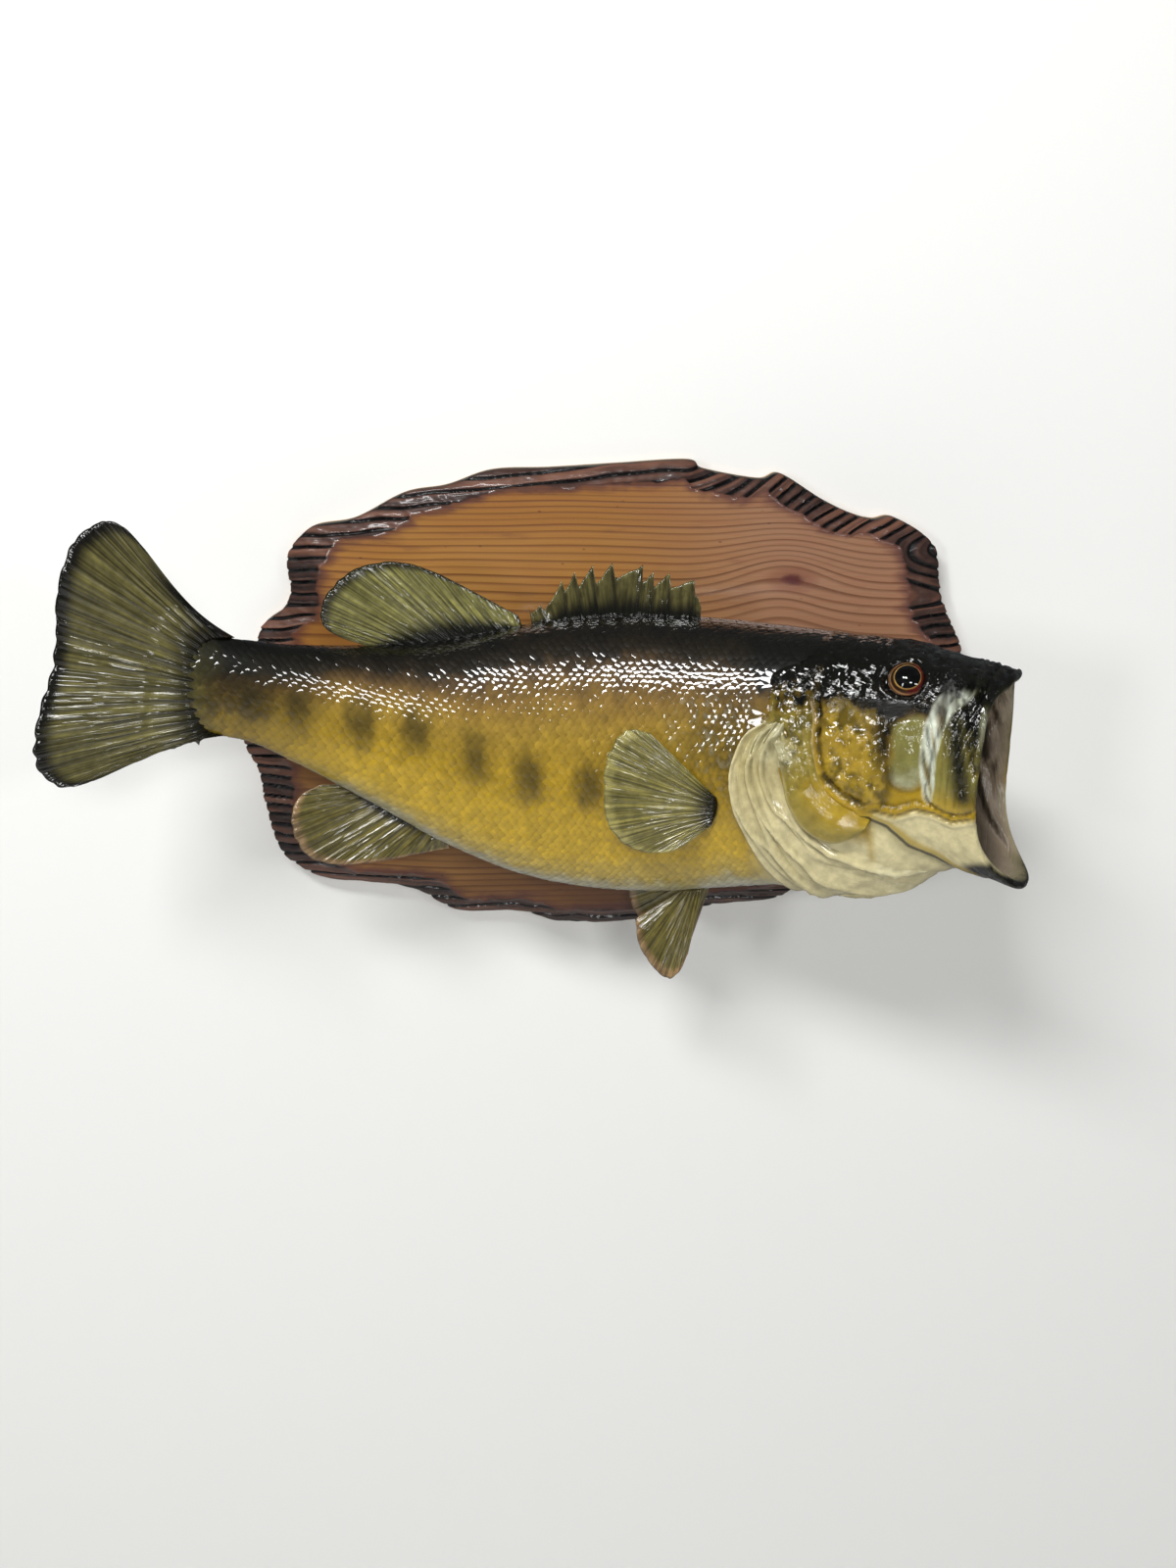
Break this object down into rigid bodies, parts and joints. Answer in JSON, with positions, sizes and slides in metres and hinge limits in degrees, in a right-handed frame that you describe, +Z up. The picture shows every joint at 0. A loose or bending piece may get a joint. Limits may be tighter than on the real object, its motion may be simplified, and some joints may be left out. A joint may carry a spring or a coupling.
{
  "type": "mounted trophy fish",
  "caption": "Still, life-size largemouth bass mounted on a hand-cut wooden wall board with a charred rim, mouth open and gill covers flared.",
  "frame": {"origin": "on the wall plane, at the middle of the board's flat back face", "axes": "+X along the board towards the fish's head, +Y into the wall, +Z up"},
  "size_m": [0.5164, 0.1847, 0.2891],
  "materials": {
    "board_wood": "varnished softwood with dark grain, rim charred and gouged",
    "hanger_steel": "zinc-plated sawtooth strip",
    "scaled_skin": "painted scaled skin under clear varnish, black back to golden flank and cream belly",
    "head_skin": "painted head skin under clear varnish",
    "jaw_skin": "painted jaw skin, cream to olive, varnished, black lip tips",
    "gill_membrane": "wrinkled cream skin under clear varnish",
    "glass_eye": "glass taxidermy eye, black pupil in a gold ring",
    "fin": "dried olive fin, ribbed, varnished, dark edges"
  },
  "bodies": {
    "root": {"board": "board_wood", "hanger": "hanger_steel", "trunk": "scaled_skin", "tail_stalk": "scaled_skin", "head": "head_skin", "upper_jaw": "jaw_skin", "lower_jaw": "jaw_skin", "maxilla_right": "head_skin", "maxilla_left": "head_skin", "gill_cover_right": "head_skin", "gill_cover_left": "head_skin", "gill_membrane_right": "gill_membrane", "gill_membrane_left": "gill_membrane", "eye_right": "glass_eye", "eye_left": "glass_eye", "caudal_fin": "fin", "soft_dorsal_fin": "fin", "spiny_dorsal_fin": "fin", "anal_fin": "fin", "pectoral_fin_right": "fin", "pectoral_fin_left": "fin", "pelvic_fin_right": "fin", "pelvic_fin_left": "fin"}
  },
  "joints": []
}
